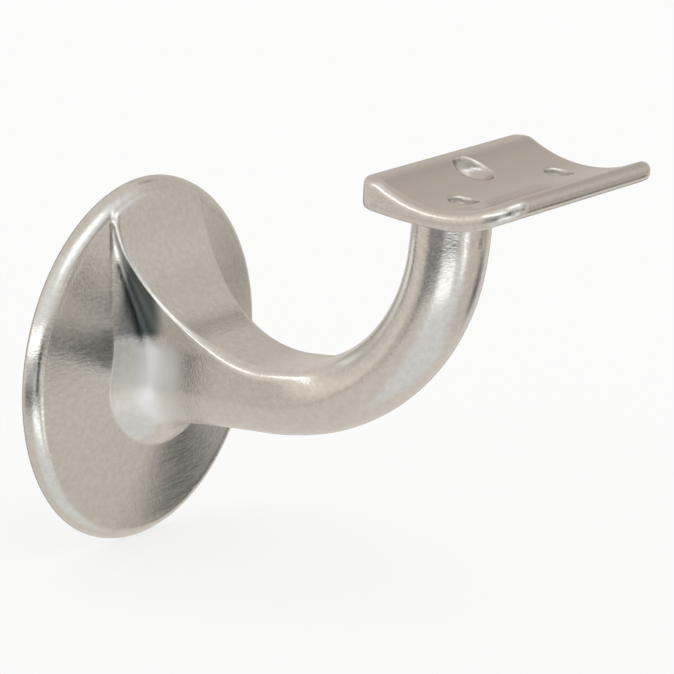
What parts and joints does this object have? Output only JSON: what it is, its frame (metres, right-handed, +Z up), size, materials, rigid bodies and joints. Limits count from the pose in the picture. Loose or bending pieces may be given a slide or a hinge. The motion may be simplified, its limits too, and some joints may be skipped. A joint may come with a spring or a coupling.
{
  "type": "handrail bracket",
  "caption": "Cast handrail bracket: a round wall rose, a swan-neck arm with a flared web on top, and a hollowed saddle plate that a rail screws down onto.",
  "frame": {"origin": "centre of the rose's flat back face, which lies on the wall", "axes": "+Z up, +Y into the wall, so the arm reaches out along -Y; +X along the handrail"},
  "size_m": [0.07, 0.0975, 0.0846],
  "materials": {
    "casting": "satin, linished casting"
  },
  "bodies": {
    "root": {"bracket_casting": "casting"}
  },
  "joints": []
}
